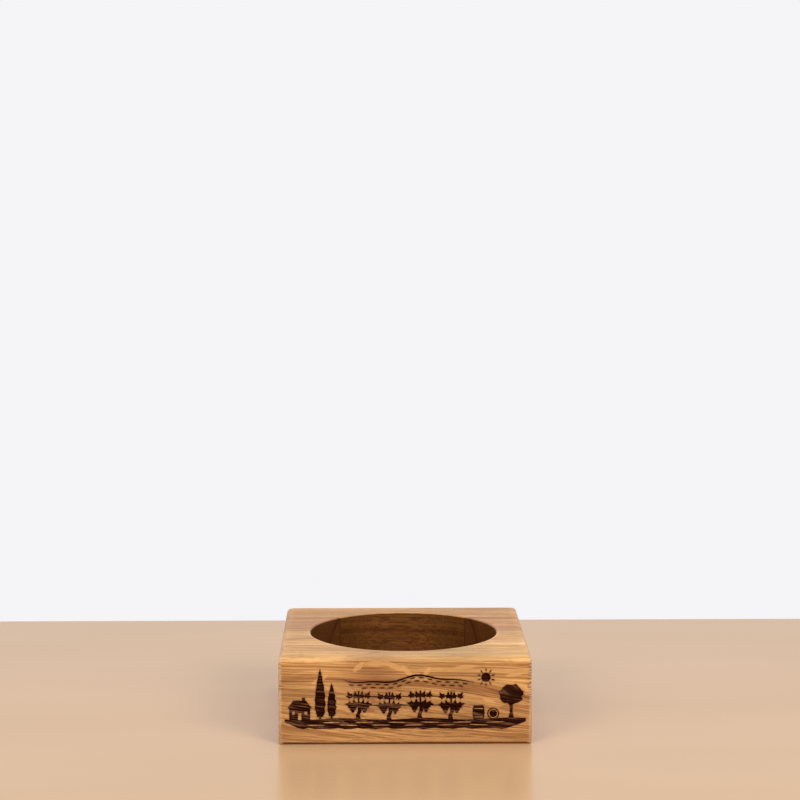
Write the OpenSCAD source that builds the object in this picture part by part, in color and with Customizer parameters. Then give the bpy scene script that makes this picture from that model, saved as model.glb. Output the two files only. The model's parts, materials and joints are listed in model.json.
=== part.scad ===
// Bottle holder: a square block glued up from four hardwood staves. A round recess milled into its top takes
// the foot of a bottle, and a vineyard frieze is burnt into its front face.
// Millimetres, +Z up, front face towards -Y, origin at the middle of the underside.

/* [Block] */
// Length of the staves, which is the width of the block
block_w = 140; // [124:1:200]
// Depth of the block, from its front face to its rear face
block_d = 140; // [124:1:200]
// Height of the block
block_h = 49; // [45:1:80]
// Radius of the four upright corners
corner_r = 2; // [1:0.5:6]
// Radius of the edges round the top
top_edge_r = 3; // [0.5:0.5:5]
// Radius of the edges round the underside
bottom_edge_r = 1.5; // [0.5:0.5:4]

/* [Staves] */
// Width of the front stave
front_stave_d = 31; // [26:0.5:40]
// Width of the rear stave
rear_stave_d = 31; // [26:0.5:40]

/* [Recess] */
// Diameter of the recess
recess_d = 108; // [80:1:114]
// Thickness of the floor under the recess
floor_t = 14; // [6:1:24]
// Width of the chamfer round the mouth of the recess
rim_chamfer = 0.6; // [0.2:0.1:2]

/* [Frieze] */
// Depth of the burnt picture
burn_depth = 0.6; // [0.3:0.1:1.5]
// Gap between the ends of the picture and the rounded corners
frieze_side_gap = 1.5; // [1:0.5:6]
// Gap between the tip of the tallest tree and the top of the block
frieze_top_gap = 6.5; // [4:0.5:12]
// Gap between neighbouring motifs
motif_gap = 1.5; // [0.5:0.5:4]
// Depth to which the foot of each motif reaches into the soil
root_depth = 1.2; // [0.8:0.1:2]

/* [Soil] */
// Height of the soil's lower edge above the underside
soil_z = 9; // [6:0.5:12]
// Thickness of the soil
soil_t = 5.4; // [4:0.2:8]
// Rise and fall of the soil's surface
soil_roll = 0.5; // [0:0.1:1]
// Length of one rise and fall of the soil's surface
soil_wave = 46; // [20:1:90]
// Length of one bare furrow in the soil
furrow_l = 11; // [6:0.5:16]
// Thickness of one bare furrow
furrow_t = 0.7; // [0.4:0.1:1.2]
// Distance from one furrow to the next
furrow_pitch = 9; // [7:0.5:16]
// Length over which the soil thins out at each end
soil_end_taper = 9; // [4:0.5:16]

/* [Vines] */
// Height of a vine's stake above the soil
vine_h = 15.4; // [13:0.2:18]
// Distance from one vine to the next
vine_pitch = 17; // [14:0.5:24]
// Height of the lower wire and the arms of a vine above the soil
arm_z = 7.4; // [6.4:0.2:8.4]
// Height of the upper wire above the soil
top_wire_z = 12.4; // [11.4:0.2:14]
// Reach of each arm of a vine from its trunk
arm_reach = 4.8; // [4:0.1:5.4]
// Thickness of a vine's trunk at its foot
trunk_w = 2; // [1.2:0.1:3]
// Width of a stake
stake_w = 0.9; // [0.6:0.1:1.5]
// Thickness of the wire between the stakes
wire_t = 0.5; // [0.3:0.1:0.8]
// Size of a vine leaf from its stalk to its tip
leaf_l = 3.2; // [2.4:0.1:3.8]
// Radius of a grape
grape_r = 0.9; // [0.6:0.05:1]

/* [Farm] */
// Width of the house's walls
house_w = 11.5; // [8:0.5:16]
// Height of the house's walls above the soil
house_wall_h = 6.5; // [5:0.5:9]
// Height of the roof above the walls
roof_h = 4.4; // [3:0.2:7]
// Reach of the eaves beyond the walls
eaves = 1; // [0.5:0.1:2]
// Width of a window
window_w = 1.6; // [1:0.1:2]
// Diameter of a barrel across its hoops
barrel_d = 6.6; // [5:0.2:9]
// Height of the standing barrel
barrel_h = 8.4; // [7:0.2:12]
// Width of one hoop line on a barrel
hoop_w = 0.6; // [0.4:0.1:0.9]

/* [Trees] */
// Width of the tallest cypress
cypress_w = 6; // [4:0.2:8]
// Distance from one cypress to the next
cypress_pitch = 6.4; // [5:0.2:9]
// Amount by which the second cypress is shorter than the first
cypress_step = 8; // [4:0.5:14]
// Mean radius of the round tree's crown
crown_r = 6.6; // [5:0.2:9]
// Height of the middle of the crown above the soil
crown_z = 13; // [11:0.5:16]
// Thickness of the round tree's trunk
tree_trunk_w = 1.7; // [1:0.1:3]

/* [Hills] */
// Height of the hills' mean line above the soil
hill_z = 22.5; // [21:0.5:24]
// Rise and fall of the hills about their mean line
hill_rise = 1.9; // [1:0.1:2.4]
// Length of one rise and fall of the hills
hill_wave = 58; // [30:1:90]
// Greatest thickness of the hills' crest line
hill_line_t = 1.1; // [0.6:0.1:1.6]
// Distance from one clump of distant vines to the next
hill_row_pitch = 4.6; // [3:0.2:8]
// Length of a clump of distant vines
hill_row_l = 3; // [2:0.2:4]
// Thickness of a clump of distant vines
hill_row_t = 0.7; // [0.4:0.1:1]
// Radius of the sun
sun_r = 2.6; // [1.6:0.1:3.2]

/* [Hidden] */
$fn = 96;

middle_stave_d = (block_d - front_stave_d - rear_stave_d) / 2;
front_joint_y = -block_d / 2 + front_stave_d;
middle_joint_y = front_joint_y + middle_stave_d;
rear_joint_y = block_d / 2 - rear_stave_d;
recess_depth = block_h - floor_t;
cut_past = 1;
lap = 0.2;
vary_angle = 137;

frieze_w = block_w - 2 * (corner_r + frieze_side_gap);
frieze_end = frieze_w / 2;
soil_steps = 40;
sky_top = block_h - frieze_top_gap;

house_x = -frieze_end + motif_gap + eaves + house_w / 2;
cypress_x = house_x + house_w / 2 + eaves + motif_gap + cypress_w / 2;
tree_x = frieze_end - motif_gap - crown_r;
lying_barrel_x = tree_x - crown_r - barrel_d / 2;
standing_barrel_x = lying_barrel_x - motif_gap - barrel_d;
vines_left = cypress_x + cypress_pitch + cypress_w / 2 + motif_gap;
vines_right = standing_barrel_x - barrel_d / 2 - motif_gap;
vine_count = max(1, floor((vines_right - vines_left) / vine_pitch));
vines_mid = (vines_left + vines_right) / 2;
sun_x = (standing_barrel_x + lying_barrel_x) / 2;
hills_right = sun_x - 2 * sun_r - motif_gap;

light_oak = [0.86, 0.68, 0.48];
warm_oak = [0.80, 0.58, 0.36];
pink_oak = [0.78, 0.60, 0.47];

// Height of the soil's surface at a place along the frieze
function soil_top(x) = soil_z + soil_t + soil_roll * sin(360 * x / soil_wave);

// Height of the soil's ragged lower edge
function soil_bottom(x) = soil_z + soil_roll * (sin(1180 * x / soil_wave) + sin(3050 * x / soil_wave)) / 2;

// Share of the soil's full thickness, which thins out towards both ends
function soil_share(x) = 0.3 + 0.7 * min(1, (frieze_end - abs(x)) / soil_end_taper);

// Place of a vine, counted from the left
function vine_x(i) = vines_mid + (i - (vine_count - 1) / 2) * vine_pitch;

// Height of the hills' crest at a place along the frieze
function crest_z(x) = soil_z + soil_t + hill_z
    + hill_rise * (sin(360 * x / hill_wave + 30) + 0.4 * sin(850 * x / hill_wave));

// A rectangle about the origin with round corners
module rounded_rectangle(w, h, r) {
    square([w - 2 * r, h], center = true);
    square([w, h - 2 * r], center = true);
    for (x = [-1, 1], y = [-1, 1])
        translate([x * (w / 2 - r), y * (h / 2 - r)]) circle(r);
}

// The outline of the block seen from one side, with its underside at zero
module side_outline(w) {
    intersection() {
        rounded_rectangle(w, 2 * block_h, top_edge_r);
        translate([0, block_h]) rounded_rectangle(w, 2 * block_h, bottom_edge_r);
    }
}

// The whole block before it is cut, with its upright corners and its edges rounded
module rounded_block() {
    intersection() {
        linear_extrude(block_h) rounded_rectangle(block_w, block_d, corner_r);
        translate([0, block_d / 2, 0]) rotate([90, 0, 0]) linear_extrude(block_d) side_outline(block_w);
        translate([-block_w / 2, 0, 0]) rotate([90, 0, 90]) linear_extrude(block_w) side_outline(block_d);
    }
}

// The round pocket for the bottle, with the chamfer at its mouth
module recess() {
    translate([0, 0, floor_t]) cylinder(d = recess_d, h = recess_depth + cut_past);
    translate([0, 0, block_h - rim_chamfer])
        cylinder(d1 = recess_d, d2 = recess_d + 4 * rim_chamfer, h = 2 * rim_chamfer);
}

// The stave of the block that lies between y0 and y1
module stave(y0, y1) {
    difference() {
        intersection() {
            rounded_block();
            translate([-block_w / 2 - cut_past, y0, -cut_past])
                cube([block_w + 2 * cut_past, y1 - y0, block_h + 2 * cut_past]);
        }
        recess();
    }
}

// A thin spindle lying along X
module spindle(l, t) {
    polygon([for (a = [0 : 45 : 315]) [l / 2 * cos(a), t / 2 * sin(a)]]);
}

// A burnt spot of radius r about the origin
module disc(r, points = 20) {
    polygon([for (i = [0 : points - 1]) r * [cos(360 * i / points), sin(360 * i / points)]]);
}

// The band of soil that everything stands on, with bare furrows in it
module soil() {
    xs = [for (i = [0 : soil_steps]) frieze_w * (i / soil_steps - 0.5)];
    upper = [for (x = xs) [x, soil_top(x)]];
    lower = [for (i = [soil_steps : -1 : 0])
        [xs[i], soil_top(xs[i]) - soil_share(xs[i]) * (soil_top(xs[i]) - soil_bottom(xs[i]))]];
    furrows = floor((frieze_w - 2 * soil_end_taper) / furrow_pitch);
    difference() {
        polygon(concat(upper, lower));
        for (i = [0 : furrows - 1]) {
            x = furrow_pitch * (i - (furrows - 1) / 2);
            level = (i % 2 == 0) ? 0.36 : 0.64;
            translate([x, soil_z + level * soil_t]) rotate(2 * sin(vary_angle * i))
                spindle(furrow_l, furrow_t);
        }
    }
}

// A vine leaf with five lobes, its stalk at the origin and its tip along +X
module vine_leaf() {
    lobes = [[-140, 0.46], [-104, 0.36], [-66, 0.66], [-36, 0.46], [0, 1]];
    upper = [for (i = [len(lobes) - 2 : -1 : 0]) [-lobes[i][0], lobes[i][1]]];
    outline = concat(lobes, upper, [[180, 0.2]]);
    polygon([for (p = outline) leaf_l * p[1] * [cos(p[0]), sin(p[0])]]);
}

// A bunch of grapes hanging from the origin, in rows of three, two and one
module grape_bunch() {
    step = 1.6 * grape_r;
    for (row = [0 : 2], i = [0 : 2 - row])
        translate([step * (i - (2 - row) / 2), -step * (0.5 + 0.87 * row)]) disc(grape_r, 10);
}

// A twisted trunk that rises to the lower wire and spreads into two arms
module vine_trunk() {
    arm_t = trunk_w * 0.35;
    polygon([[-trunk_w * 0.9, -root_depth], [trunk_w * 0.8, -root_depth], [trunk_w * 0.25, arm_z * 0.25],
        [trunk_w * 0.8, arm_z * 0.6], [trunk_w * 0.7, arm_z * 0.85], [arm_reach, arm_z],
        [arm_reach, arm_z + arm_t], [0, arm_z + 2 * arm_t], [-arm_reach, arm_z + arm_t],
        [-arm_reach, arm_z], [-trunk_w * 0.3, arm_z * 0.9], [-trunk_w * 0.2, arm_z * 0.6],
        [-trunk_w * 0.7, arm_z * 0.3]]);
}

// One vine trained on two wires, with its stake, its leaves and two bunches of grapes
module vine(i) {
    sway = 9 * sin(vary_angle * i);
    leaf_pitch = 2 * arm_reach / 3;
    translate([vine_x(i), soil_top(vine_x(i))]) {
        translate([-stake_w / 2, -root_depth]) square([stake_w, vine_h + root_depth]);
        vine_trunk();
        for (k = [0 : 3])
            translate([leaf_pitch * (k - 1.5), top_wire_z])
                rotate(90 - 16 * (k - 1.5) + (k % 2 == 0 ? sway : -sway)) vine_leaf();
        for (side = [-1, 1]) {
            translate([side * arm_reach * 0.96, arm_z + wire_t]) rotate(90 - side * 84 + sway) vine_leaf();
            translate([side * arm_reach * 0.45, arm_z + wire_t]) rotate(90 - side * 10 + sway) vine_leaf();
            translate([side * arm_reach * 0.66, arm_z]) grape_bunch();
        }
    }
}

// The row of vines and the two wires that they are trained on
module vine_row() {
    for (i = [0 : vine_count - 1]) vine(i);
    for (z = [arm_z, top_wire_z])
        translate([vine_x(0) - arm_reach, soil_z + soil_t + z])
            square([vine_x(vine_count - 1) - vine_x(0) + 2 * arm_reach, wire_t]);
}

// A cypress with a ragged flame-shaped crown
module cypress(x, w, tip_z) {
    foot = soil_top(x);
    crown_foot = foot + root_depth;
    levels = 11;
    right = [for (i = [0 : levels - 1])
        let (t = i / levels, flame = pow(sin(180 * pow(0.04 + 0.96 * t, 0.6)), 0.8))
        [w / 2 * flame * (i % 2 == 0 ? 0.86 : 1.06), crown_foot + (tip_z - crown_foot) * t]];
    left = [for (i = [levels - 1 : -1 : 0]) [-right[i][0] * (i % 2 == 0 ? 1.16 : 0.84), right[i][1]]];
    translate([x, 0]) polygon(concat(right, [[0, tip_z]], left));
    translate([x - w / 10, foot - root_depth]) square([w / 5, 4 * root_depth]);
}

// A farmhouse with a gabled roof, a chimney, two windows and a door
module house() {
    foot = soil_top(house_x);
    door_w = 1.2 * window_w;
    translate([house_x, foot]) {
        difference() {
            translate([-house_w / 2, -root_depth]) square([house_w, house_wall_h + root_depth + lap]);
            for (side = [-1, 1])
                translate([side * house_w * 0.3 - window_w / 2, house_wall_h * 0.45])
                    square([window_w, 1.2 * window_w]);
            translate([-door_w / 2, 0]) square([door_w, house_wall_h * 0.6]);
        }
        polygon([[-house_w / 2 - eaves, house_wall_h], [house_w / 2 + eaves, house_wall_h],
            [house_w * 0.3, house_wall_h + roof_h], [-house_w * 0.3, house_wall_h + roof_h]]);
        translate([house_w * 0.12, house_wall_h]) square([window_w, roof_h + window_w]);
    }
}

// A barrel standing on its end, with bare lines along its hoops
module standing_barrel() {
    steps = 6;
    right = [for (i = [0 : steps]) let (t = i / steps)
        [barrel_d / 2 * (0.8 + 0.2 * sin(180 * t)), barrel_h * t]];
    left = [for (i = [steps : -1 : 0]) [-right[i][0], right[i][1]]];
    translate([standing_barrel_x, soil_top(standing_barrel_x) - root_depth / 2]) difference() {
        polygon(concat(right, left));
        for (t = [0.22, 0.78])
            translate([0, barrel_h * t]) square([0.7 * barrel_d, hoop_w], center = true);
    }
}

// A barrel lying on its side, seen from its end
module lying_barrel() {
    r = barrel_d / 2;
    translate([lying_barrel_x, soil_top(lying_barrel_x) + r - root_depth / 2]) {
        difference() {
            disc(r);
            disc(r - hoop_w);
        }
        disc(r - 2 * hoop_w);
    }
}

// A tree with a broad round crown
module round_tree() {
    points = 26;
    foot = soil_top(tree_x);
    translate([tree_x, foot]) {
        translate([0, crown_z])
            polygon([for (i = [0 : points - 1]) let (a = 360 * i / points)
                crown_r * (1 + 0.07 * sin(7 * a) + 0.05 * sin(11 * a + 40)) * [cos(a), 0.86 * sin(a)]]);
        polygon([[-tree_trunk_w, -root_depth], [tree_trunk_w, -root_depth],
            [tree_trunk_w * 0.45, crown_z / 4], [tree_trunk_w * 0.5, crown_z],
            [-tree_trunk_w * 0.5, crown_z], [-tree_trunk_w * 0.4, crown_z / 4]]);
    }
}

// The crest of the hills from x0 to x1, thickest in its middle
module hill_crest(x0, x1) {
    steps = 20;
    xs = [for (i = [0 : steps]) x0 + (x1 - x0) * i / steps];
    upper = [for (x = xs) [x, crest_z(x)]];
    lower = [for (i = [steps - 1 : -1 : 1])
        [xs[i], crest_z(xs[i]) - hill_line_t * (0.35 + 0.65 * sin(180 * i / steps))]];
    polygon(concat(upper, lower));
}

// Rows of distant vines along the slope below the crest, from x0 to x1
module hill_rows(x0, x1) {
    count = floor((x1 - x0) / hill_row_pitch);
    for (row = [1 : 2], i = [row : count - row]) {
        x = x0 + (x1 - x0) * (i + row / 2 - 0.5) / count;
        slope = atan(crest_z(x + 0.5) - crest_z(x - 0.5));
        translate([x, crest_z(x) - 1.7 * row * hill_line_t]) rotate(slope)
            spindle(hill_row_l, hill_row_t);
    }
}

// The sun over the hills
module sun() {
    rays = 10;
    translate([sun_x, sky_top - sun_r * 1.9]) {
        disc(sun_r);
        for (i = [0 : rays - 1])
            rotate(360 * (i + 0.5) / rays) translate([1.55 * sun_r, 0])
                spindle(0.7 * sun_r, 0.24 * sun_r);
    }
}

// The whole picture, drawn on the front face with its height along Y
module frieze() {
    soil();
    vine_row();
    house();
    cypress(cypress_x, cypress_w, sky_top);
    cypress(cypress_x + cypress_pitch, 0.84 * cypress_w, sky_top - cypress_step);
    standing_barrel();
    lying_barrel();
    round_tree();
    hill_crest(vines_left + motif_gap, hills_right);
    hill_rows(vines_left + motif_gap, hills_right);
    sun();
}

// The front stave, with the picture burnt into its face
module front_stave() {
    color(warm_oak) difference() {
        stave(-block_d / 2, front_joint_y);
        translate([0, -block_d / 2 + burn_depth, 0]) rotate([90, 0, 0])
            linear_extrude(burn_depth + cut_past) frieze();
    }
}

// The stave behind the front one
module front_middle_stave() {
    color(light_oak) stave(front_joint_y, middle_joint_y);
}

// The stave in front of the rear one
module rear_middle_stave() {
    color(pink_oak) stave(middle_joint_y, rear_joint_y);
}

// The rear stave
module rear_stave() {
    color(light_oak) stave(rear_joint_y, block_d / 2);
}

front_stave();
front_middle_stave();
rear_middle_stave();
rear_stave();
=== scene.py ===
"""Looks of a square wooden bottle holder: solid oak staves with a burnt frieze, on a pale table top."""

import json
import math
from types import SimpleNamespace

import bmesh
import bpy
import numpy as np
from mathutils import Matrix, Vector, noise
from mathutils.kdtree import KDTree


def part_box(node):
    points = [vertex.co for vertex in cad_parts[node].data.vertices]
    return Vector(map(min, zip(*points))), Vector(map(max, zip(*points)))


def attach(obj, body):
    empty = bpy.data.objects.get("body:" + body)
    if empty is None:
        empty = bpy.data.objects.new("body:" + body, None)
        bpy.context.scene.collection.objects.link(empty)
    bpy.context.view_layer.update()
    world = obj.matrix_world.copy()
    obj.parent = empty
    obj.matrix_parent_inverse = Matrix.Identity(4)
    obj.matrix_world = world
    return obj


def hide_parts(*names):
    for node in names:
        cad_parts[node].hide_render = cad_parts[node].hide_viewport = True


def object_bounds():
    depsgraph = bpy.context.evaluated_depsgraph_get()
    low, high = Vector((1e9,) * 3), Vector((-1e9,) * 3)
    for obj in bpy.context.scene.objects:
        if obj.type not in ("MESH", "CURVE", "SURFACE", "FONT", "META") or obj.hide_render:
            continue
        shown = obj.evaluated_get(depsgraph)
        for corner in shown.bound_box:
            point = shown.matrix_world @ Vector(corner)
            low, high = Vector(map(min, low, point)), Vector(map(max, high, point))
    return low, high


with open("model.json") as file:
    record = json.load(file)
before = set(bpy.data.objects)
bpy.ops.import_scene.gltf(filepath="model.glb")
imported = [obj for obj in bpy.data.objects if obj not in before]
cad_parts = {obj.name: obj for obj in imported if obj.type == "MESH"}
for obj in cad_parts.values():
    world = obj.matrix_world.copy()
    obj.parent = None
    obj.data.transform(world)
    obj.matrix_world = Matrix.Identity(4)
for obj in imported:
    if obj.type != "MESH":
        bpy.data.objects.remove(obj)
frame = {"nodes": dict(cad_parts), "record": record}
CAD_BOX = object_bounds()

MM = 0.001

# Sizes of the block, taken from the frame where it has them
BLOCK_LOW, BLOCK_HIGH = CAD_BOX
FRONT_Y = BLOCK_LOW.y
TOP_Z = BLOCK_HIGH.z
RECESS = next(m for m in frame["record"]["mounts"] if m["name"] == "bottle_recess")
RECESS_R = RECESS["dims"]["r_mm"] * MM
RECESS_FLOOR_Z = 14 * MM
UPRIGHT_R = 2 * MM
TOP_R = 3 * MM

# The same sizes in millimetres, for the materials
HALF_W_MM = BLOCK_HIGH.x / MM
HALF_D_MM = BLOCK_HIGH.y / MM
FRONT_MM = FRONT_Y / MM
TOP_MM = TOP_Z / MM
RECESS_R_MM = RECESS_R / MM

# Mesh density
COARSE_STEP = 2.5 * MM
FRIEZE_STEP = 0.9 * MM
SAW_STEP = 0.28 * MM
WELD = 1e-7
SNAP = 0.04 * MM
SHARP_ANGLE = math.radians(32)

# Wear of the block's edges
ARRIS_REACH = 3 * MM
WEAR_DEPTH = 0.1 * MM
WEAR_LONG = 9 * MM
WEAR_SHORT = 5 * MM
WEAR_EVEN = 0.2

# Saw marks on the sides by the front upright edges, shallower and rarer on the left
SAW_REACH = 10 * MM
SAW_RUN_OUT = 2 * MM
SAW_PITCH = 1.7 * MM
SAW_WANDER = 7 * MM
SAW_WANDER_SEED = 3
SAW_SWAY = 7
SAW_PATCH = 4 * MM
SAW_PATCH_SEED = (5.6, 0.5)
SAW_PATCHINESS = 1.2
SAW_LOW_SHARE = 0.3
SAW_RISE_SHARE = 0.25
SAW_TOP_FADE = 6 * MM
SAW_SHADE = 1.2
SAW_SHADE_CURVE = 1.5
SAW_DEPTH_LEFT = 0.25 * MM
SAW_DEPTH_RIGHT = 0.85 * MM
SAW_OFTEN_LEFT = 0.2
SAW_OFTEN_RIGHT = 0.85

# Burnt picture
PICTURE_MARGIN = 4 * MM
PICTURE_FOOT = 7 * MM
BURN_LIMIT = 0.9 * MM
SKIN = 0.02 * MM
SCORCH_REACH = 0.9 * MM

# Places of the materials on each stave
OAK, RECESS_OAK, BURNT_OAK = range(3)

# Camera, as fitted to the block's edges, with angles in degrees
CAMERA_PLACE = (-0.0191, -1.2708, 0.3176)
CAMERA_LENS_MM = 100.0
CAMERA_SENSOR_MM = 36.0
CAMERA_PITCH = 6.005
CAMERA_TURN = -0.775
CAMERA_ROLL = -0.03

# Table top
TABLE_HALF_W = 1.6
TABLE_FRONT_Y = -1.5
TABLE_REAR_Y = 0.268
TABLE_DARK = (0.63, 0.395, 0.212)
TABLE_PALE = (0.665, 0.42, 0.23)
TABLE_ROUGHNESS = 0.24
TABLE_GLOSS = 0.25
TABLE_CLOUDS = (3.0, 9.0, 1.0)

# Soft boxes: place, size and power
SOFT_BOXES = {
    "left_box": ((-1.0, -1.3, 1.0), 0.8, 13),
    "right_box": ((1.0, -1.3, 1.0), 0.8, 16),
    "top_box": ((0, 0.2, 1.6), 1.0, 6.5),
}

# White room
WALL_COLOUR = (0.913, 0.905, 0.930)
FILL_COLOUR = (1.0, 0.985, 0.97)
FILL_STRENGTH = 0.42

# Growth of each board in millimetres, and its colours outside and inside the dark ring
BOARDS = {
    "front_stave": {
        "heart": (-60, -60), "drift": (0.0, -0.027), "ring": 1.75, "run_out": 0.11, "seed": 3.0,
        "dark_ring": 95.6, "wood": (0.575, 0.301, 0.103), "inner": (0.93, 0.90, 0.90),
    },
    "front_middle_stave": {
        "heart": (-30, -60), "drift": (0.02, 0.03), "ring": 2.6, "run_out": 0.03, "seed": 11.0,
        "dark_ring": 103, "wood": (0.68, 0.37, 0.14), "inner": (0.88, 0.84, 0.80),
    },
    "rear_middle_stave": {
        "heart": (80, 20), "drift": (-0.01, 0.02), "ring": 2.2, "run_out": 0.04, "seed": 19.0,
        "dark_ring": 51, "wood": (0.51, 0.245, 0.10), "inner": (0.97, 0.97, 0.95),
    },
    "rear_stave": {
        "heart": (40, -45), "drift": (0.02, -0.03), "ring": 2.5, "run_out": 0.05, "seed": 29.0,
        "dark_ring": 84, "wood": (0.57, 0.295, 0.108), "inner": (0.92, 0.88, 0.84),
    },
}

# Sizes in millimetres of the wood's marks, along the grain and across it
SLOW_WAVE = (110, 34)
QUICK_WAVE = (40, 10)
FINE_LINE = (110, 1.1)
FIBRE = (28, 0.42)
CLOUD = (120, 12)
PORE = (5, 0.26)
END_PORE = (20, 0.55)
FLECK_BORDER = (6, 0.9)
SINGE = (2.2, 0.7)
CHAR_FIBRE = (34, 0.8)
CHAR_PATCH = (14, 2.5)

# Heights in millimetres of the grain's two waves, and the levels between which the grain grows calm
SLOW_HEIGHT = 8
QUICK_HEIGHT = 1.8
CALM_Z = 38
WAVY_Z = 26
CALM_SHARE = 0.4

# Heights in millimetres between which the grain's run-out grows from a share to its whole slope
RUN_OUT_Z = (2, 16)
RUN_OUT_SHARE = 0.4

# How the rings' width wanders: over how many millimetres, and by how many rings
RING_WANDER = 7
RING_SPREAD = 2.4

# The dark ring of each board in millimetres: its offset, its blur, and where its line begins and is full
RING_OFFSET = 0.4
RING_BLUR = 0.8
RING_LINE = (2.4, 0.2)

# How much paler and darker than its board the wood's clouds are
CLOUD_CONTRAST = 0.15

# Rays of the end grain: how many noise cells a radian and how long a cell is
RAY_DENSITY = 130
RAY_LENGTH = 18

# Distance in millimetres between the rings that the cutter left on the recess's floor
CUTTER_STEP = 2.6

# Pale ray flecks of the front face: middle in X and Z, slant in degrees, half length, half width
FLECKS = [
    (-47, 36.7, 30, 5.0, 1.4),
    (-25.7, 43.6, 42, 4.4, 1.5),
    (-17, 45.3, -3, 7.0, 1.5),
    (-6, 43.9, -24, 6.2, 1.6),
    (1, 41.0, -48, 4.6, 1.5),
    (6.5, 38.8, -4, 4.6, 1.4),
    (11.8, 40.6, 52, 3.6, 1.3),
    (33, 43.5, 4, 7.0, 1.1),
    (60, 39.0, 10, 5.0, 1.0),
    (46, 24.5, -18, 4.0, 0.9),
]

# Where a fleck's border begins and is full, as shares of its half sizes, and how deep in Y it shows
FLECK_EDGE = (1.65, 1.25)
FLECK_Y = (FRONT_MM + 3, FRONT_MM + 2)

# Patches where the wood is paler or darker than its board: middle in X, Y and Z, reach, and tint; the
# four on the top, at Z 49, are painted sheen
TONE_AND_SHEEN_PATCHES = [
    ((60, -45, 49), 42, (1.36, 1.43, 1.46)),
    ((-62, -55, 49), 36, (1.09, 1.12, 1.16)),
    ((64, 30, 49), 36, (1.12, 1.14, 1.04)),
    ((-66, 12, 49), 36, (0.88, 0.93, 0.88)),
    ((25, -70, 42), 56, (0.78, 0.78, 0.79)),
    ((-18, -70, 38.5), 26, (0.62, 0.52, 0.49)),
    ((18, -70, 31), 24, (1.22, 1.22, 1.10)),
    ((48, -70, 27), 30, (1.08, 1.08, 1.06)),
    ((-62, -70, 30), 25, (0.84, 0.84, 0.80)),
    ((-36, -70, 2), 60, (1.19, 1.25, 1.30)),
]

# Bands of wear, painted highlight, painted foot shade and glue in millimetres from an edge: where each
# begins, and where it is full
FRONT_BAND = (22, 3)
SIDE_BAND = (6, 1)
UPRIGHT_BAND = (3.0, 1.6)
LEVEL_BAND = (3.5, 1.5)
ARRIS_BAND = (2.3, 0.7)
FOOT_BAND = (3.5, 1.5)
FOOT_HEIGHT = (2.1, 0.8)
FOOT_CORNER = (1.0, 3.5)
FOOT_CORNER_SHARE = 0.1
GLUE_BAND = (0.30, 0.08)

# Heights between which sanding makes the grain fainter
SANDED_Z = (TOP_MM - 3, TOP_MM - 0.5)

# Heights between which the arrises' painted highlight grows from a share to its whole strength
ARRIS_Z = (2, 24)
ARRIS_FOOT_SHARE = 0.5

# How many times narrower the bands of wear and painted highlight are below the top, and where the front
# one fades along X
BAND_DROP = 5.2
FADE_RIGHT = (42, 62)
FADE_LEFT = (-48, -64)
FADE_RIGHT_SHARE = 0.5
FADE_LEFT_SHARE = 0.8

# Painted highlight on the recess's rim in millimetres: its width, its height, and how it fades from front
# to rear
RIM_OUTER = 2.2
RIM_INNER = 0.6
RIM_HEIGHT = (40, 44)
RIM_FADE = (20, -20)

# Tints that marks, wear, painted highlight and painted shade give the wood
TINTS = {
    "dark_ring": (0.66, 0.52, 0.44),
    "early_wood": (0.80, 0.71, 0.61),
    "late_wood": (0.54, 0.42, 0.34),
    "dark_line": (0.66, 0.545, 0.455),
    "pale_line": (1.13, 1.15, 1.17),
    "end_grain": (0.66, 0.58, 0.50),
    "rays": (1.30, 1.26, 1.20),
    "end_pores": (0.50, 0.40, 0.33),
    # Pales the top's edges: partly wear, partly painted highlight
    "rubbed_and_highlit": (1.34, 1.46, 1.54),
    "sawn": (0.45, 0.28, 0.14),
    # Painted shade along the edge that the block stands on
    "foot": (0.33, 0.19, 0.07),
    # Painted highlight on the recess's rim
    "rim": (1.26, 1.34, 1.38),
    # Painted shade over the whole recess
    "recess": (0.34, 0.25, 0.15),
    "glue": (0.55, 0.45, 0.38),
}

# How strongly the marks show, as shares of their tint or colour
RING_STRENGTH = 0.9
EARLY_STRENGTH = 0.7
LATE_STRENGTH = 0.9
PORE_STRENGTH = 0.6
SANDED_STRENGTH = 0.5
END_STRENGTH = 0.7
END_RUBBED_AND_LIT_LOSS = 0.6
SIDE_STRENGTH = 0.6
LEVEL_STRENGTH = 0.5
RUBBED_AND_LIT_LINE_STRENGTH = 0.6
ARRIS_STRENGTH = 0.72
ARRIS_LINE_STRENGTH = 0.42
FLECK_STRENGTH = 0.62
SCORCH_STRENGTH = 0.8
OUTLINE_STRENGTH = 0.25

# How the fibres lighten and darken the wood
FIBRE_SHADE = (0.27, -0.25)

# Colours that cover the wood
PORE_COLOUR = (0.13, 0.055, 0.02)
FLECK_COLOUR = (0.73, 0.39, 0.132)
# The arrises' pale colour is painted highlight, with some wear
ARRIS_HIGHLIGHT_COLOUR = (0.86, 0.575, 0.34)
SCORCH_COLOUR = (0.17, 0.060, 0.020)

# Colours of the char: hard wood, soft early wood, light streaks and the picture's outline
CHAR_HARD = (0.021, 0.0036, 0.0012)
CHAR_SOFT = (0.011, 0.0020, 0.0008)
CHAR_STREAK = (0.165, 0.068, 0.035)
CHAR_OUTLINE = (0.13, 0.040, 0.013)

# Gloss, roughness and relief
OILED_GLOSS = 0.35
RECESS_GLOSS = 0.08
CHAR_GLOSS = 0.02
OAK_ROUGHNESS = (0.42, 0.66)
CHAR_ROUGHNESS = (0.92, 0.75)
FIBRE_HEIGHT = 0.4
PORE_DEPTH = 0.8
CUTTER_HEIGHT = 0.15
GRAIN_RELIEF = 0.06 * MM
CHAR_RELIEF = 0.25 * MM


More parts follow.
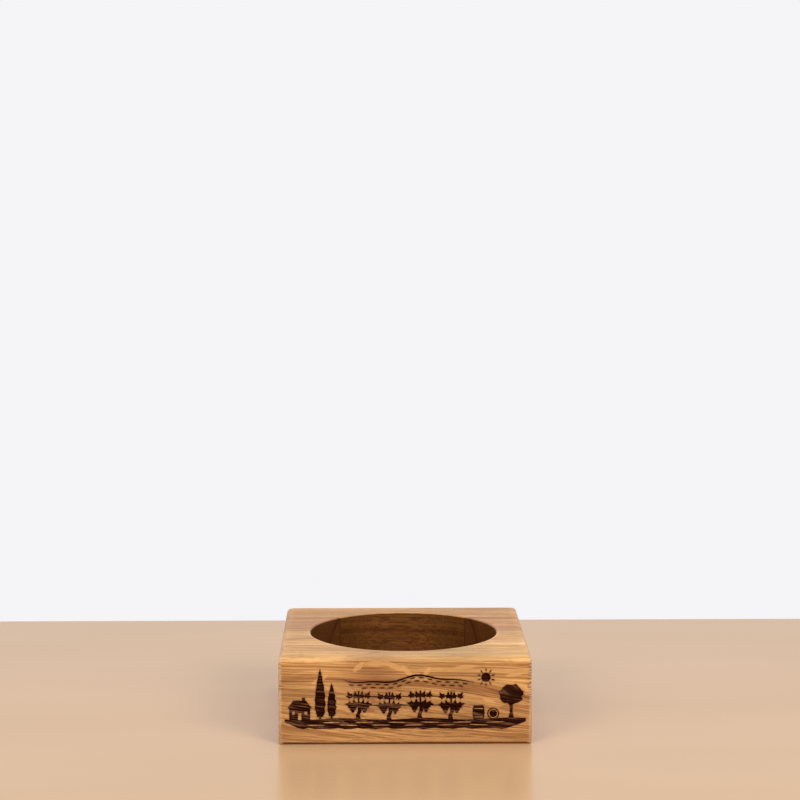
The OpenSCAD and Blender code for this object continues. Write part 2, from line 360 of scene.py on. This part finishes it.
class Shader:
    """Builds one material's node tree; its methods return the sockets that they make."""

    def __init__(self, name):
        self.material = bpy.data.materials.new(name)
        self.material.use_nodes = True
        self.tree = self.material.node_tree
        self.tree.nodes.clear()

    def add(self, kind, inputs=(), output=0, **settings):
        node = self.tree.nodes.new(kind)
        for key, value in settings.items():
            setattr(node, key, value)
        for key, value in dict(inputs).items():
            if isinstance(value, bpy.types.NodeSocket):
                self.tree.links.new(value, node.inputs[key])
            else:
                node.inputs[key].default_value = value
        return node.outputs[output] if node.outputs else None

    def math(self, operation, a, b=0.0, c=0.0):
        return self.add("ShaderNodeMath", {0: a, 1: b, 2: c}, operation=operation)

    def plus(self, a, b):
        return self.math("ADD", a, b)

    def minus(self, a, b):
        return self.math("SUBTRACT", a, b)

    def times(self, a, b):
        return self.math("MULTIPLY", a, b)

    def times_plus(self, a, b, c):
        return self.math("MULTIPLY_ADD", a, b, c)

    def absolute(self, a):
        return self.math("ABSOLUTE", a)

    def larger(self, a, b):
        return self.math("MAXIMUM", a, b)

    def smaller(self, a, b):
        return self.math("MINIMUM", a, b)

    def hypotenuse(self, a, b):
        return self.math("SQRT", self.plus(self.times(a, a), self.times(b, b)))

    def vector(self, operation, a, b=(0, 0, 0), output=0):
        return self.add("ShaderNodeVectorMath", {0: a, 1: b}, output, operation=operation)

    def join(self, x, y, z):
        return self.add("ShaderNodeCombineXYZ", {0: x, 1: y, 2: z})

    def split(self, vector):
        node = self.tree.nodes.new("ShaderNodeSeparateXYZ")
        self.tree.links.new(vector, node.inputs[0])
        return node.outputs[0], node.outputs[1], node.outputs[2]

    def coordinate(self, name):
        return self.add("ShaderNodeTexCoord", output=name)

    def noise(self, vector, detail=2.0, rough=0.5, output="Fac"):
        inputs = {"Vector": vector, "Scale": 1.0, "Detail": detail, "Roughness": rough}
        return self.add("ShaderNodeTexNoise", inputs, output)

    def marks(self, vector, sizes, detail=2.0, rough=0.5, output="Fac"):
        along, across = sizes
        scaled = self.vector("MULTIPLY", vector, (1 / along, 1 / across, 1 / across))
        return self.noise(scaled, detail, rough, output)

    def range(self, value, low, high, to_low=0.0, to_high=1.0):
        inputs = {0: value, 1: low, 2: high, 3: to_low, 4: to_high}
        return self.add("ShaderNodeMapRange", inputs, interpolation_type="SMOOTHSTEP")

    def mix(self, factor, a, b, blend="MIX"):
        inputs = {0: factor, 6: a, 7: b}
        return self.add("ShaderNodeMix", inputs, output=2, data_type="RGBA", blend_type=blend)

    def cover(self, factor, colour, other):
        return self.mix(factor, colour, rgba(other))

    def tint(self, factor, colour, tint):
        return self.mix(factor, colour, rgba(tint), "MULTIPLY")

    def attribute(self, name):
        return self.add("ShaderNodeAttribute", output="Fac", attribute_name=name)

    def finish(self, inputs, height=None, relief=0.0):
        inputs = dict(inputs)
        if height is not None:
            bump = {"Height": height, "Distance": relief, "Strength": 1.0}
            inputs["Normal"] = self.add("ShaderNodeBump", bump)
        surface = self.add("ShaderNodeBsdfPrincipled", inputs)
        self.add("ShaderNodeOutputMaterial", {"Surface": surface})
        return self.material


def rgba(colour):
    return (*colour, 1.0)


def wave(s, place, sizes, height):
    """A wave that bends the grain across its run."""
    bend = s.vector("SUBTRACT", s.marks(place, sizes, output="Color"), (0.5,) * 3)
    return s.vector("MULTIPLY", bend, (0, height, height))


def grain(s, board):
    """Follows a board's growth: returns the place in millimetres, the grain's space and the radius."""
    place = s.vector("MULTIPLY", s.coordinate("Object"), (1 / MM,) * 3)
    shifted = s.vector("ADD", place, (0, 0, 100 * board["seed"]))
    slow = wave(s, shifted, SLOW_WAVE, SLOW_HEIGHT)
    quick = wave(s, shifted, QUICK_WAVE, QUICK_HEIGHT)
    strength = s.range(s.split(place)[2], CALM_Z, WAVY_Z, CALM_SHARE, 1.0)
    waves = s.vector("MULTIPLY", s.vector("ADD", slow, quick), s.join(strength, strength, strength))
    x, y, z = s.split(s.vector("ADD", place, waves))
    run_out = s.times(s.range(z, CALM_Z, WAVY_Z), s.range(z, *RUN_OUT_Z, RUN_OUT_SHARE, 1.0))
    z = s.times_plus(s.times(x, board["run_out"]), run_out, z)
    y = s.minus(y, s.times_plus(x, board["drift"][0], board["heart"][0]))
    z = s.minus(z, s.times_plus(x, board["drift"][1], board["heart"][1]))
    return place, s.join(x, y, z), s.hypotenuse(y, z)


def year_rings(s, board, radius):
    """Year rings of uneven width: returns the soft early wood and the dark line that ends each year."""
    uneven = s.noise(s.join(s.times(radius, 1 / RING_WANDER), board["seed"], 0), 1.0)
    rings = s.plus(s.math("DIVIDE", radius, board["ring"]), s.times(uneven, RING_SPREAD))
    part = s.math("FRACT", rings)
    vigour = s.add("ShaderNodeTexWhiteNoise", {"W": s.math("FLOOR", rings)}, noise_dimensions="1D")
    early = s.times(s.range(part, 0.0, 0.12), s.range(part, 0.2, 0.75, 1.0, 0.0))
    early = s.times(early, s.times_plus(vigour, 0.6, 0.4))
    late = s.times(s.range(part, 0.80, 0.97), s.range(part, 0.97, 1.0, 1.0, 0.0))
    late = s.times(late, s.range(vigour, 0.25, 0.9))
    return early, late


def wood_marks(s, board):
    """The marks of a board's wood, which its colour, roughness and relief follow."""
    place, along, radius = grain(s, board)
    early, late = year_rings(s, board, radius)
    dash = s.marks(along, PORE, 1.0)
    normal_x = s.split(s.coordinate("Normal"))[0]
    end_grain = s.range(s.absolute(normal_x), 0.1, 0.7)
    return SimpleNamespace(
        place=place,
        along=along,
        radius=radius,
        early=early,
        late=late,
        line=s.marks(along, FINE_LINE, 3.0, 0.6),
        fibre=s.marks(along, FIBRE, 4.0, 0.6),
        cloud=s.marks(along, CLOUD, 3.0, 0.6),
        pore=s.times(s.range(dash, 0.59, 0.68), s.times_plus(early, 0.75, 0.25)),
        end_grain=end_grain,
        long_grain=s.minus(1.0, s.times(end_grain, 0.8)),
    )


def board_tone(s, wood, board):
    """The colour of a board: cloudy, darker at one ring and inside it, uneven from patch to patch, and
    with painted sheen on the top.
    """
    ring = board["dark_ring"]
    inside = s.range(wood.radius, ring + RING_BLUR, ring - RING_BLUR)
    from_ring = s.absolute(s.minus(wood.radius, ring + RING_OFFSET))
    dark_ring = s.times(s.range(from_ring, *RING_LINE), s.range(wood.cloud, 0.3, 0.55, 0.35, 1.0))
    shade = s.times_plus(s.minus(s.range(wood.cloud, 0.3, 0.7), 0.5), wood.long_grain, 0.5)
    pale = rgba([(1 + CLOUD_CONTRAST) * c for c in board["wood"]])
    dark = rgba([(1 - CLOUD_CONTRAST) * c for c in board["wood"]])
    colour = s.tint(inside, s.mix(shade, pale, dark), board["inner"])
    # The patches on the top are painted sheen
    for middle, reach, tint in TONE_AND_SHEEN_PATCHES:
        distance = s.vector("DISTANCE", wood.place, middle, output="Value")
        colour = s.tint(s.range(distance, reach, 0), colour, tint)
    return s.tint(s.times(dark_ring, RING_STRENGTH), colour, TINTS["dark_ring"])


def grain_tone(s, wood, colour):
    """Adds year rings, fine lines, fibres and pores, which sanding has made fainter on the top."""
    z = s.split(wood.place)[2]
    sanded = s.range(z, *SANDED_Z, 1.0, SANDED_STRENGTH)
    drawn = s.times(wood.long_grain, sanded)
    colour = s.tint(s.times(wood.early, s.times(sanded, EARLY_STRENGTH)), colour, TINTS["early_wood"])
    colour = s.tint(s.times(wood.late, s.times(sanded, LATE_STRENGTH)), colour, TINTS["late_wood"])
    colour = s.tint(s.times(s.range(wood.line, 0.48, 0.60), drawn), colour, TINTS["dark_line"])
    colour = s.tint(s.times(s.range(wood.line, 0.44, 0.32), drawn), colour, TINTS["pale_line"])
    shade = s.times_plus(s.range(wood.fibre, 0.3, 0.7, *FIBRE_SHADE), drawn, 1.0)
    colour = s.mix(1.0, colour, s.join(shade, shade, shade), "MULTIPLY")
    return s.cover(s.times(wood.pore, PORE_STRENGTH), colour, PORE_COLOUR)


def end_tone(s, wood, colour, rubbed_and_highlit):
    """Darkens the thirsty end grain and adds its rays and open pores."""
    thirst = s.times(wood.end_grain, s.times_plus(rubbed_and_highlit, -END_RUBBED_AND_LIT_LOSS, END_STRENGTH))
    colour = s.tint(thirst, colour, TINTS["end_grain"])
    colour = s.tint(s.times(rays(s, wood), wood.end_grain), colour, TINTS["rays"])
    return s.tint(s.times(end_pores(s, wood), wood.end_grain), colour, TINTS["end_pores"])


def rays(s, wood):
    """Fine pale rays that run out from the tree's heart across the end grain."""
    across, up = s.split(wood.along)[1:]
    turn = s.times(s.math("ARCTAN2", up, across), RAY_DENSITY)
    spread = s.noise(s.join(turn, s.times(wood.radius, 1 / RAY_LENGTH), 0), 1.0)
    return s.range(spread, 0.55, 0.68)


def end_pores(s, wood):
    """Open pores of the end grain: dark dots, close together in each year's early wood."""
    dots = s.marks(wood.place, END_PORE, 1.0)
    return s.times(s.range(dots, 0.52, 0.62), s.times_plus(wood.early, 0.85, 0.15))


def worn_and_lit_tone(s, wood, colour, rubbed_and_highlit, arris_highlight, flecks):
    """Adds the bands of wear and painted highlight, the ray flecks, the arrises' painted highlight, the
    saw marks and the painted shade along the foot.
    """
    rubbed_and_highlit = s.times(rubbed_and_highlit, s.range(wood.line, 0.35, 0.60, 1.0, RUBBED_AND_LIT_LINE_STRENGTH))
    # Pales the top's edges: partly wear, partly painted highlight
    colour = s.tint(rubbed_and_highlit, colour, TINTS["rubbed_and_highlit"])
    for fleck in flecks:
        colour = s.cover(ray_fleck(s, wood, *fleck), colour, FLECK_COLOUR)
    z = s.split(wood.place)[2]
    # Painted highlight on the arrises at both sides, with some wear
    highlight_share = s.range(wood.line, 0.35, 0.65, ARRIS_STRENGTH, ARRIS_LINE_STRENGTH)
    highlight_share = s.times(highlight_share, s.range(z, *ARRIS_Z, ARRIS_FOOT_SHARE, 1.0))
    colour = s.cover(s.times(arris_highlight, highlight_share), colour, ARRIS_HIGHLIGHT_COLOUR)
    colour = s.tint(s.attribute("sawn"), colour, TINTS["sawn"])
    # Painted shade along the foot
    return s.tint(painted_foot_shade(s, wood), colour, TINTS["foot"])


def ray_fleck(s, wood, x, z, slant, half_length, half_width):
    """A slanted pale fleck of the front face, where a ray lies open; its border follows the fibres."""
    run = math.cos(math.radians(slant))
    rise = math.sin(math.radians(slant))
    here_x, here_y, here_z = s.split(wood.place)
    right = s.minus(here_x, x)
    up = s.minus(here_z, z)
    length = s.plus(s.times(right, run / half_length), s.times(up, rise / half_length))
    width = s.minus(s.times(up, run / half_width), s.times(right, rise / half_width))
    ragged = s.marks(wood.along, FLECK_BORDER)
    inside = s.range(s.plus(ragged, s.hypotenuse(length, width)), *FLECK_EDGE, 0.0, FLECK_STRENGTH)
    return s.times(inside, s.range(here_y, *FLECK_Y))


def rubbed_and_highlit_edges(s, wood):
    """Two masks of wear and painted highlight: bands along the top's edges, and the arrises at both
    sides.
    """
    x, y, z = s.split(wood.place)
    to_side = s.minus(HALF_W_MM, s.absolute(x))
    to_front = s.minus(y, FRONT_MM)
    to_top = s.minus(TOP_MM, z)
    below_top = s.times(to_top, BAND_DROP)
    front = s.range(s.larger(to_front, below_top), *FRONT_BAND)
    front = s.times(front, s.range(x, *FADE_RIGHT, 1.0, FADE_RIGHT_SHARE))
    front = s.times(front, s.range(x, *FADE_LEFT, 1.0, FADE_LEFT_SHARE))
    side = s.range(s.larger(to_side, below_top), *SIDE_BAND)
    upright = s.range(to_front, *UPRIGHT_BAND)
    level = s.range(to_top, *LEVEL_BAND, 0.0, LEVEL_STRENGTH)
    arris_highlight = s.times(s.range(to_side, *ARRIS_BAND), s.larger(upright, level))
    return s.larger(front, s.times(side, SIDE_STRENGTH)), arris_highlight


def painted_foot_shade(s, wood):
    """1 along the edge that the block stands on, where painted shade darkens it, except at the corners.
    """
    x, y, z = s.split(wood.place)
    to_side = s.minus(HALF_W_MM, s.absolute(x))
    to_end = s.minus(HALF_D_MM, s.absolute(y))
    edge = s.range(s.smaller(to_side, to_end), *FOOT_BAND)
    off_corner = s.range(s.larger(to_side, to_end), *FOOT_CORNER, FOOT_CORNER_SHARE, 1.0)
    return s.times(s.range(z, *FOOT_HEIGHT), s.times(edge, off_corner))


def recess_rim_highlight(s, wood):
    """1 on the recess's rim, where a painted highlight shows on the front half."""
    x, y, z = s.split(wood.place)
    ring = s.range(s.hypotenuse(x, y), RECESS_R_MM + RIM_OUTER, RECESS_R_MM + RIM_INNER)
    return s.times(s.times(ring, s.range(z, *RIM_HEIGHT)), s.range(y, *RIM_FADE))


def cutter_rings(s, wood):
    """Fine rings that the cutter left inside the recess."""
    x, y = s.split(wood.place)[:2]
    return s.math("SINE", s.times(s.hypotenuse(x, y), 2 * math.pi / CUTTER_STEP))


def joint_tone(s, wood, colour, joints):
    """Adds a thin dark line of glue at each joint."""
    y = s.split(wood.place)[1]
    for joint in joints:
        gap = s.absolute(s.minus(y, joint / MM))
        colour = s.tint(s.range(gap, *GLUE_BAND), colour, TINTS["glue"])
    return colour


def scorch_tone(s, wood, colour):
    """Browns the wood beside the burnt picture."""
    singe = s.range(s.marks(wood.along, SINGE, 3.0), 0.25, 0.75, 0.3, 1.15)
    scorch = s.times(s.attribute("scorch"), singe)
    return s.cover(s.range(scorch, 0.05, 1.0, 0.0, SCORCH_STRENGTH), colour, SCORCH_COLOUR)


def oak(name, board, joints, flecks, recessed):
    """Oiled solid oak, as it is outside the recess, or inside it under painted shade."""
    s = Shader(name)
    wood = wood_marks(s, board)
    rubbed_and_highlit, arris_highlight = rubbed_and_highlit_edges(s, wood)
    colour = grain_tone(s, wood, board_tone(s, wood, board))
    colour = end_tone(s, wood, colour, rubbed_and_highlit)
    colour = worn_and_lit_tone(s, wood, colour, rubbed_and_highlit, arris_highlight, flecks)
    height = s.minus(s.times(wood.fibre, FIBRE_HEIGHT), s.times(wood.pore, PORE_DEPTH))
    height = s.times(height, wood.long_grain)
    if recessed:
        # Painted shade darkens the whole recess
        colour = s.tint(1.0, colour, TINTS["recess"])
        height = s.times_plus(cutter_rings(s, wood), CUTTER_HEIGHT, height)
    else:
        # Painted highlight on the recess's rim
        colour = s.tint(recess_rim_highlight(s, wood), colour, TINTS["rim"])
    colour = scorch_tone(s, wood, joint_tone(s, wood, colour, joints))
    open_grain = s.plus(s.plus(wood.fibre, wood.line), wood.pore)
    inputs = {
        "Base Color": colour,
        "Roughness": s.range(open_grain, 0.7, 1.6, *OAK_ROUGHNESS),
        "Specular IOR Level": RECESS_GLOSS if recessed else OILED_GLOSS,
    }
    return s.finish(inputs, height, GRAIN_RELIEF)


def char(name, board):
    """Wood burnt to dark brown, with the harder grain left as lighter streaks."""
    s = Shader(name)
    along, radius = grain(s, board)[1:]
    early = year_rings(s, board, radius)[0]
    fibre = s.marks(along, CHAR_FIBRE, 4.0, 0.6)
    patch = s.marks(along, CHAR_PATCH)
    outline = s.attribute("scorch")
    streak = s.times(s.range(fibre, 0.48, 0.60), s.range(patch, 0.40, 0.58, 0.1, 1.0))
    streak = s.times(streak, s.range(outline, 0.75, 0.2, 0.25, 1.0))
    colour = s.mix(early, rgba(CHAR_HARD), rgba(CHAR_SOFT))
    colour = s.cover(streak, colour, CHAR_STREAK)
    colour = s.cover(s.range(outline, 0.75, 1.0, 0.0, OUTLINE_STRENGTH), colour, CHAR_OUTLINE)
    inputs = {
        "Base Color": colour,
        "Roughness": s.range(fibre, 0.3, 0.7, *CHAR_ROUGHNESS),
        "Specular IOR Level": CHAR_GLOSS,
    }
    return s.finish(inputs, s.minus(fibre, s.times(early, 0.4)), CHAR_RELIEF)


def table_finish():
    """Plain pale table top."""
    s = Shader("pale_table")
    cloud = s.noise(s.vector("MULTIPLY", s.coordinate("Object"), TABLE_CLOUDS))
    colour = s.mix(s.range(cloud, 0.3, 0.7), rgba(TABLE_DARK), rgba(TABLE_PALE))
    inputs = {"Base Color": colour, "Roughness": TABLE_ROUGHNESS, "Specular IOR Level": TABLE_GLOSS}
    return s.finish(inputs)


def cut_planes(mesh, faces, axis, places):
    """Cuts faces square to an axis at rising places, the middle one first; returns the faces left."""
    if not places:
        return list(faces)
    middle = len(places) // 2
    place = places[middle]
    normal = Vector((0, 0, 0))
    normal[axis] = 1
    edges = {e for f in faces for e in f.edges}
    verts = {v for e in edges for v in e.verts}
    geometry = [*faces, *edges, *verts]
    cut = bmesh.ops.bisect_plane(mesh, geom=geometry, dist=SNAP, plane_co=normal * place, plane_no=normal)
    below, above = [], []
    for face in cut["geom"]:
        if isinstance(face, bmesh.types.BMFace):
            beyond = max(v.co[axis] for v in face.verts) > place + SNAP
            (above if beyond else below).append(face)
    below = cut_planes(mesh, below, axis, places[:middle])
    above = cut_planes(mesh, above, axis, places[middle + 1:])
    return below + above


def spaced(low, high, step):
    """Places between low and high, evenly spaced by about one step, without the two ends."""
    count = max(1, round((high - low) / step))
    return [low + (high - low) * i / count for i in range(1, count)]


def in_burn(face):
    """Whether a face lies in the front skin that holds the picture."""
    return all(v.co.y < FRONT_Y + BURN_LIMIT for v in face.verts)


def in_pocket(face):
    """Whether a face is a floor or a wall of the sunk picture, and not of the rounded edges."""
    middle = face.calc_center_median()
    by_side = abs(middle.x) > BLOCK_HIGH.x - ARRIS_REACH
    between = PICTURE_MARGIN < middle.z < TOP_Z - PICTURE_MARGIN
    sunk = max(v.co.y for v in face.verts) > FRONT_Y + SKIN
    return in_burn(face) and between and sunk and not by_side


def in_recess(face):
    """Whether a face is a part of the recess's wall or floor."""
    middle = face.calc_center_median()
    return middle.z > RECESS_FLOOR_Z - SNAP and middle.to_2d().length < RECESS_R + SNAP


def by_front_edge(place):
    """Whether a point lies on a side, or round its front edge, where the saw left marks."""
    return place.y < FRONT_Y + SAW_REACH and abs(place.x) > BLOCK_HIGH.x - ARRIS_REACH


def edge_distance(place):
    """Distance from a point of the surface to the nearest outer edge of the block's box."""
    gaps = sorted(min(place[i] - BLOCK_LOW[i], BLOCK_HIGH[i] - place[i]) for i in range(3))
    return gaps[1]


def rubbed_move(place, normal):
    """The uneven step inwards that use has left along the block's edges."""
    near = max(0.0, 1.0 - edge_distance(place) / ARRIS_REACH)
    rough = noise.noise(place / WEAR_LONG) + 0.5 * noise.noise(place / WEAR_SHORT)
    return normal * (-near * max(0.0, WEAR_EVEN + rough) * WEAR_DEPTH)


def sawn_move(place, normal):
    """The step inwards of the saw marks by the front upright edges."""
    if not by_front_edge(place):
        return Vector((0, 0, 0))
    depth = SAW_DEPTH_RIGHT if place.x > 0 else SAW_DEPTH_LEFT
    return Vector((-normal.x * depth * saw_mark(place), 0, 0))


def corner_move(place):
    """The step inwards that rounds a corner of the top, where the edges' own rounding leaves a mitre."""
    rise = min(1.0, max(0.0, (place.z - TOP_Z + TOP_R) / TOP_R))
    inset = TOP_R * (1 - math.sqrt(1 - rise * rise)) + UPRIGHT_R
    out = Vector((abs(place.x) - BLOCK_HIGH.x + inset, abs(place.y) - BLOCK_HIGH.y + inset, 0))
    beyond = out.length - UPRIGHT_R
    if min(out.x, out.y) <= 0 or beyond <= 0 or rise == 0:
        return Vector((0, 0, 0))
    step = out * (-beyond / out.length)
    return Vector((math.copysign(step.x, -place.x), math.copysign(step.y, -place.y), 0))


def saw_mark(place):
    """How strong the saw's marks are at a point: strongest at the front edge, and only high up."""
    side = math.copysign(1, place.x)
    often = SAW_OFTEN_RIGHT if place.x > 0 else SAW_OFTEN_LEFT
    wander = noise.noise(Vector((SAW_WANDER_SEED * side, 0, place.z / SAW_WANDER)))
    tooth = 0.5 + 0.5 * math.sin(2 * math.pi * place.z / SAW_PITCH + SAW_SWAY * wander)
    patch = noise.noise(Vector((SAW_PATCH_SEED[0] * side, SAW_PATCH_SEED[1], place.z / SAW_PATCH)))
    strength = max(0.0, often + SAW_PATCHINESS * patch)
    near = max(0.0, 1.0 - (place.y - FRONT_Y) / SAW_REACH)
    rise = max(0.0, (place.z / TOP_Z - SAW_LOW_SHARE) / SAW_RISE_SHARE)
    fall = (TOP_Z - place.z) / SAW_TOP_FADE
    return tooth * strength * near * min(1.0, rise, fall)


def saw_shade(place):
    """How much a saw mark darkens a point; the marks run out on the front face beside the edge."""
    to_side = BLOCK_HIGH.x - abs(place.x)
    run_out = min(1.0, max(0.0, (ARRIS_REACH - to_side) / SAW_RUN_OUT))
    return min(1.0, SAW_SHADE * saw_mark(place)) ** SAW_SHADE_CURVE * run_out


def wear(mesh):
    """Rubs the block's edges, adds the saw marks and rounds the top's corners."""
    mesh.normal_update()
    moves = []
    for v in mesh.verts:
        move = rubbed_move(v.co, v.normal) + sawn_move(v.co, v.normal) + corner_move(v.co)
        moves.append((v, move))
    for v, move in moves:
        v.co += move


def cut_front(mesh, low, high):
    """Cuts the front stave finer where it has saw marks and the picture."""
    sawn = [f for f in mesh.faces if all(by_front_edge(v.co) for v in f.verts)]
    cut_planes(mesh, sawn, 2, spaced(low.z, high.z, SAW_STEP))
    skin = [f for f in mesh.faces if in_burn(f)]
    columns = spaced(low.x + PICTURE_MARGIN, high.x - PICTURE_MARGIN, FRIEZE_STEP)
    rows = spaced(low.z + PICTURE_FOOT, high.z - PICTURE_MARGIN, FRIEZE_STEP)
    skin = cut_planes(mesh, skin, 0, columns)
    cut_planes(mesh, skin, 2, rows)


def stave_mesh(node, burnt):
    """A CAD stave's mesh, cut finer, sorted by material and worn."""
    low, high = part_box(node)
    mesh = bmesh.new()
    mesh.from_mesh(frame["nodes"][node].data)
    bmesh.ops.remove_doubles(mesh, verts=mesh.verts, dist=WELD)
    for axis in range(3):
        cut_planes(mesh, mesh.faces, axis, spaced(low[axis], high[axis], COARSE_STEP))
    if burnt:
        cut_front(mesh, low, high)
    bmesh.ops.dissolve_degenerate(mesh, edges=mesh.edges, dist=SNAP / 2)
    for face in mesh.faces:
        if burnt and in_pocket(face):
            face.material_index = BURNT_OAK
        elif in_recess(face):
            face.material_index = RECESS_OAK
        else:
            face.material_index = OAK
    wear(mesh)
    data = bpy.data.meshes.new(node + "_oak")
    mesh.to_mesh(data)
    mesh.free()
    data.attributes.remove(data.attributes["custom_normal"])
    return data


def dress(data, node, burnt):
    """Gives a stave's mesh its materials, the attributes that they read, and its shading."""
    low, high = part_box(node)
    joints = [y for y in (low.y, high.y) if BLOCK_LOW.y + MM < y < BLOCK_HIGH.y - MM]
    board = BOARDS[node]
    data.materials.append(oak(node + "_oak", board, joints, FLECKS if burnt else [], False))
    data.materials.append(oak(node + "_recess", board, joints, [], True))
    scorch = data.attributes.new("scorch", "FLOAT", "POINT")
    sawn = data.attributes.new("sawn", "FLOAT", "POINT")
    if burnt:
        data.materials.append(char("burnt_oak", board))
        scorch.data.foreach_set("value", scorch_values(data))
        sawn.data.foreach_set("value", [saw_shade(v.co) for v in data.vertices])
    data.shade_smooth()
    data.set_sharp_from_angle(angle=SHARP_ANGLE)


def scorch_values(data):
    """How near each point of the front lies to the picture's outline, from 0 to 1."""
    rim = set()
    for face in data.polygons:
        if face.material_index == BURNT_OAK:
            rim.update(i for i in face.vertices if data.vertices[i].co.y < FRONT_Y + SKIN)
    tree = KDTree(len(rim))
    for i in rim:
        tree.insert(data.vertices[i].co, i)
    tree.balance()
    values = np.zeros(len(data.vertices), np.float32)
    for i, vertex in enumerate(data.vertices):
        if vertex.co.y < FRONT_Y + BURN_LIMIT:
            gap = tree.find(vertex.co)[2]
            values[i] = max(0.0, 1.0 - gap / SCORCH_REACH)
    return values


def make_stave(node):
    """The dressed piece that stands for a CAD stave."""
    burnt = node == "front_stave"
    data = stave_mesh(node, burnt)
    dress(data, node, burnt)
    piece = bpy.data.objects.new(node + "_oak", data)
    bpy.context.collection.objects.link(piece)
    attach(piece, "root")
    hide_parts(node)


def make_table():
    """The pale top that the block stands on, up to its far edge."""
    w, y0, y1 = TABLE_HALF_W, TABLE_FRONT_Y, TABLE_REAR_Y
    data = bpy.data.meshes.new("table_top")
    data.from_pydata([(-w, y0, 0), (w, y0, 0), (w, y1, 0), (-w, y1, 0)], [], [(0, 1, 2, 3)])
    data.materials.append(table_finish())
    table = bpy.data.objects.new("table_top", data)
    bpy.context.collection.objects.link(table)


def make_soft_box(name, place, size, power):
    """A square soft light that looks at the middle of the block."""
    data = bpy.data.lights.new(name, "AREA")
    data.shape = "SQUARE"
    data.size = size
    data.energy = power
    lamp = bpy.data.objects.new(name, data)
    lamp.location = place
    aim = Vector((0, 0, TOP_Z / 2))
    lamp.rotation_euler = (aim - Vector(place)).to_track_quat("-Z", "Y").to_euler()
    bpy.context.collection.objects.link(lamp)


def make_room():
    """A white room: the camera, gloss and glass see its bright walls, and all else gets a softer fill."""
    world = bpy.data.worlds.new("white_room")
    world.use_nodes = True
    bpy.context.scene.world = world
    nodes, links = world.node_tree.nodes, world.node_tree.links
    nodes.clear()
    light_path = nodes.new("ShaderNodeLightPath")
    seen = light_path.outputs["Is Camera Ray"]
    for ray in ("Is Glossy Ray", "Is Transmission Ray"):
        either = nodes.new("ShaderNodeMath")
        either.operation = "MAXIMUM"
        links.new(seen, either.inputs[0])
        links.new(light_path.outputs[ray], either.inputs[1])
        seen = either.outputs[0]
    wall = nodes.new("ShaderNodeBackground")
    wall.inputs["Color"].default_value = rgba(WALL_COLOUR)
    fill = nodes.new("ShaderNodeBackground")
    fill.inputs["Color"].default_value = rgba(FILL_COLOUR)
    fill.inputs["Strength"].default_value = FILL_STRENGTH
    both = nodes.new("ShaderNodeMixShader")
    links.new(seen, both.inputs[0])
    links.new(fill.outputs[0], both.inputs[1])
    links.new(wall.outputs[0], both.inputs[2])
    out = nodes.new("ShaderNodeOutputWorld")
    links.new(both.outputs[0], out.inputs["Surface"])


def make_camera():
    """The camera at the photograph's place."""
    data = bpy.data.cameras.new("camera")
    data.lens = CAMERA_LENS_MM
    data.sensor_width = CAMERA_SENSOR_MM
    camera = bpy.data.objects.new("camera", data)
    turn = Matrix.Rotation(math.radians(CAMERA_TURN), 4, "Z")
    tilt = Matrix.Rotation(math.radians(90 - CAMERA_PITCH), 4, "X")
    roll = Matrix.Rotation(math.radians(CAMERA_ROLL), 4, "Z")
    camera.matrix_world = Matrix.Translation(CAMERA_PLACE) @ turn @ tilt @ roll
    bpy.context.collection.objects.link(camera)
    bpy.context.scene.camera = camera


bpy.context.scene.view_settings.view_transform = "Standard"
make_camera()
make_room()
for box, (place, size, power) in SOFT_BOXES.items():
    make_soft_box(box, place, size, power)
make_table()
for node in BOARDS:
    make_stave(node)
